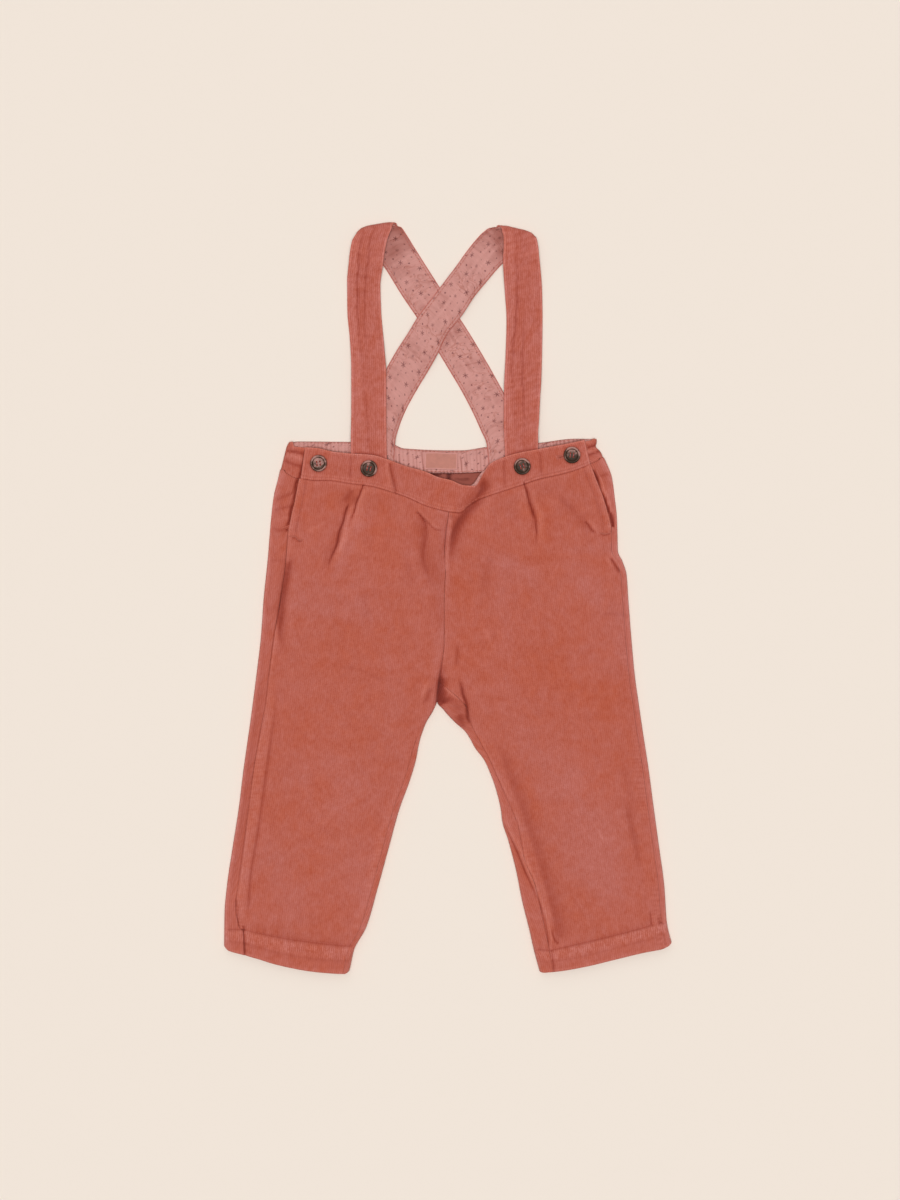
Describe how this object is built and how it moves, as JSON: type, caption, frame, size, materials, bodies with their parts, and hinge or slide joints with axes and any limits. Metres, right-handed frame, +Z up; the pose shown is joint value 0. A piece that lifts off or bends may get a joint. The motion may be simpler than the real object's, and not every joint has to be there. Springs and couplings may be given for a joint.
{
  "type": "toddler trousers with braces",
  "caption": "Toddler's needlecord trousers laid flat, front up, with crossed braces buttoned behind the front waistband, slanted side openings and turned-up hems.",
  "frame": {"origin": "middle of the garment's outline, on the surface that it lies on", "axes": "+X to the right as seen from above, +Y from the hems to the waist and braces, +Z up off the surface, out of the front"},
  "size_m": [0.3396, 0.571, 0.0134],
  "materials": {
    "cord": "rust needlecord, velvety nap",
    "print": "dusty pink cotton with small dark stars and dots",
    "label": "plain woven tape, bare",
    "button": "dark tortoiseshell, polished"
  },
  "bodies": {
    "root": {"front_left": "cord", "front_right": "cord", "back_left": "cord", "back_right": "cord", "waistband_front": "cord", "waistband_front_facing": "print", "waistband_back": "cord", "waistband_back_facing": "print", "strap_left": "cord", "strap_left_lining": "print", "strap_right": "cord", "strap_right_lining": "print", "label": "label", "button_1": "button", "button_2": "button", "button_3": "button", "button_4": "button"}
  },
  "joints": []
}
